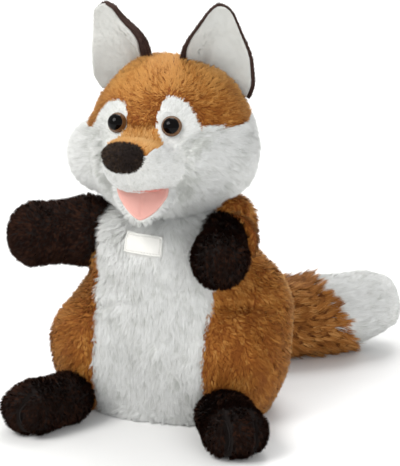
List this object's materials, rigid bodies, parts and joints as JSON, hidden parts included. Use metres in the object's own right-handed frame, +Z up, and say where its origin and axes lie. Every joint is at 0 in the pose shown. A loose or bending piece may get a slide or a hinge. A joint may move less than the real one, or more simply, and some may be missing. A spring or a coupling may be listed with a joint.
{
  "type": "fox hand puppet",
  "caption": "Sitting fox hand puppet in plush: hollow glove body, stuffed head on a finger tube, finger sleeves for arms, stuffed feet and a bushy tail.",
  "frame": {"origin": "middle of the puppet's outline on the surface that it sits on", "axes": "+Z up, the puppet faces -Y and its left side is +X"},
  "size_m": [0.1864, 0.2254, 0.236],
  "materials": {
    "brown_plush": "matte",
    "tail_plush": "matte",
    "white_plush": "matte",
    "dark_plush": "matte",
    "nose_plush": "matte",
    "pink_cloth": "matte",
    "ear_rim_plush": "matte",
    "ear_velour": "matte",
    "eye_plastic": "gloss",
    "washer_plastic": "satin",
    "lining_cloth": "matte",
    "filling": "matte",
    "label_cloth": "satin"
  },
  "bodies": {
    "torso": {"belly_panel": "white_plush", "hem_band": "lining_cloth", "chest_label": "label_cloth", "body_back_left": "brown_plush", "haunch_pad_left": "filling", "body_back_right": "brown_plush", "haunch_pad_right": "filling"},
    "neck": {"finger_tube": "lining_cloth"},
    "head": {"head_crown": "brown_plush", "head_base": "lining_cloth", "head_filling": "filling", "muzzle": "white_plush", "muzzle_bridge": "brown_plush", "nose": "nose_plush", "palate_lining": "pink_cloth", "face_left": "white_plush", "cheek_left": "white_plush", "eye_left": "eye_plastic", "eye_washer_left": "washer_plastic", "face_right": "white_plush", "cheek_right": "white_plush", "eye_right": "eye_plastic", "eye_washer_right": "washer_plastic"},
    "jaw": {"lower_jaw": "white_plush", "tongue_lining": "pink_cloth"},
    "ear_left": {"ear_backing_left": "ear_rim_plush", "ear_lining_left": "ear_velour"},
    "ear_right": {"ear_backing_right": "ear_rim_plush", "ear_lining_right": "ear_velour"},
    "shoulder_left": {"shoulder_cap_left": "brown_plush"},
    "arm_left": {"sleeve_left": "dark_plush", "paw_filling_left": "filling"},
    "shoulder_right": {"shoulder_cap_right": "brown_plush"},
    "arm_right": {"sleeve_right": "dark_plush", "paw_filling_right": "filling"},
    "foot_left": {"foot_left": "dark_plush"},
    "foot_right": {"foot_right": "dark_plush"},
    "tail_seat": {"tail_seat": "brown_plush"},
    "tail": {"tail_brush": "tail_plush", "tail_tip": "white_plush"}
  },
  "joints": [
    {"name": "head_nod", "type": "hinge", "parent": "torso", "child": "neck", "pos_m": [0.00011, -0.03314, 0.1], "axis": [1, 0, 0], "range_deg": [-20, 15]},
    {"name": "head_turn", "type": "hinge", "parent": "neck", "child": "head", "pos_m": [0.00011, -0.03314, 0.1], "axis": [0, 0, 1], "range_deg": [-35, 35]},
    {"name": "jaw_close", "type": "hinge", "parent": "head", "child": "jaw", "pos_m": [0.00011, -0.07864, 0.138], "axis": [1, 0, 0], "range_deg": [-34, 6], "stiffness_Nm_per_rad": 0.001},
    {"name": "ear_left_bend", "type": "hinge", "parent": "head", "child": "ear_left", "pos_m": [0.02531, -0.02174, 0.19399], "axis": [0.8114, 0, -0.5845], "range_deg": [-20, 20], "stiffness_Nm_per_rad": 0.002},
    {"name": "ear_right_bend", "type": "hinge", "parent": "head", "child": "ear_right", "pos_m": [-0.02509, -0.02174, 0.19399], "axis": [0.8114, 0, 0.5845], "range_deg": [-20, 20], "stiffness_Nm_per_rad": 0.002},
    {"name": "arm_left_swing", "type": "hinge", "parent": "torso", "child": "shoulder_left", "pos_m": [0.04411, -0.04114, 0.099], "axis": [0, 0, -1], "range_deg": [-96, 4]},
    {"name": "arm_left_lower", "type": "hinge", "parent": "shoulder_left", "child": "arm_left", "pos_m": [0.04411, -0.04114, 0.099], "axis": [0.9998, -0.0175, 0], "range_deg": [-20, 20]},
    {"name": "arm_right_swing", "type": "hinge", "parent": "torso", "child": "shoulder_right", "pos_m": [-0.04389, -0.04114, 0.099], "axis": [0, 0, 1], "range_deg": [-23, 77]},
    {"name": "arm_right_lower", "type": "hinge", "parent": "shoulder_right", "child": "arm_right", "pos_m": [-0.04389, -0.04114, 0.099], "axis": [0.309, -0.9511, 0], "range_deg": [-20, 20]},
    {"name": "foot_left_flex", "type": "hinge", "parent": "torso", "child": "foot_left", "pos_m": [0.04611, -0.07514, 0.0147], "axis": [-0.8434, -0.5373, 0], "range_deg": [-20, 20]},
    {"name": "foot_right_flex", "type": "hinge", "parent": "torso", "child": "foot_right", "pos_m": [-0.04589, -0.07514, 0.0147], "axis": [-0.8434, 0.5373, 0], "range_deg": [-20, 20]},
    {"name": "tail_wag", "type": "hinge", "parent": "torso", "child": "tail_seat", "pos_m": [0.00011, 0.02386, 0.022], "axis": [0, 0, 1], "range_deg": [-20, 40]},
    {"name": "tail_lift", "type": "hinge", "parent": "tail_seat", "child": "tail", "pos_m": [0.00011, 0.02386, 0.022], "axis": [1, 0, 0], "range_deg": [-12, 30]}
  ]
}
